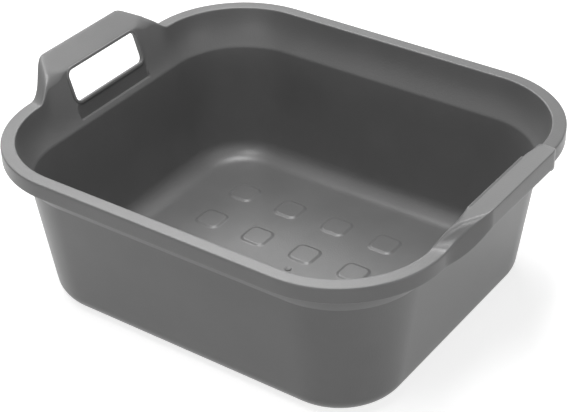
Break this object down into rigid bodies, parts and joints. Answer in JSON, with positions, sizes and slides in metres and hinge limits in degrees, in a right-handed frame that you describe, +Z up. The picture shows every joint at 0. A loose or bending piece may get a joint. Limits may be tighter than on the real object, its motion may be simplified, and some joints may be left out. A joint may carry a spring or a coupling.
{
  "type": "washing up bowl",
  "caption": "Deep rounded-rectangular washing up bowl with drafted walls, a turned-over rim, a raised grip and hand slot at each end, and a padded floor.",
  "frame": {"origin": "on the table, under the middle of the foot ring", "axes": "+X along the length towards one hand slot, +Y across towards the rear long side, +Z up out of the bowl"},
  "size_m": [0.395, 0.32, 0.1583],
  "materials": {
    "polypropylene": "satin"
  },
  "bodies": {
    "root": {"floor_pads": "polypropylene", "floor_panel": "polypropylene", "foot_ring": "polypropylene", "front_rim": "polypropylene", "front_wall": "polypropylene", "gate_pip": "polypropylene", "left_front_post": "polypropylene", "left_front_rim_corner": "polypropylene", "left_front_wall_corner": "polypropylene", "left_grip": "polypropylene", "left_rear_post": "polypropylene", "left_rear_rim_corner": "polypropylene", "left_rear_wall_corner": "polypropylene", "left_slot_lip": "polypropylene", "left_slot_sill": "polypropylene", "left_wall": "polypropylene", "rear_rim": "polypropylene", "rear_wall": "polypropylene", "right_front_post": "polypropylene", "right_front_rim_corner": "polypropylene", "right_front_wall_corner": "polypropylene", "right_grip": "polypropylene", "right_rear_post": "polypropylene", "right_rear_rim_corner": "polypropylene", "right_rear_wall_corner": "polypropylene", "right_slot_lip": "polypropylene", "right_slot_sill": "polypropylene", "right_wall": "polypropylene"}
  },
  "joints": []
}
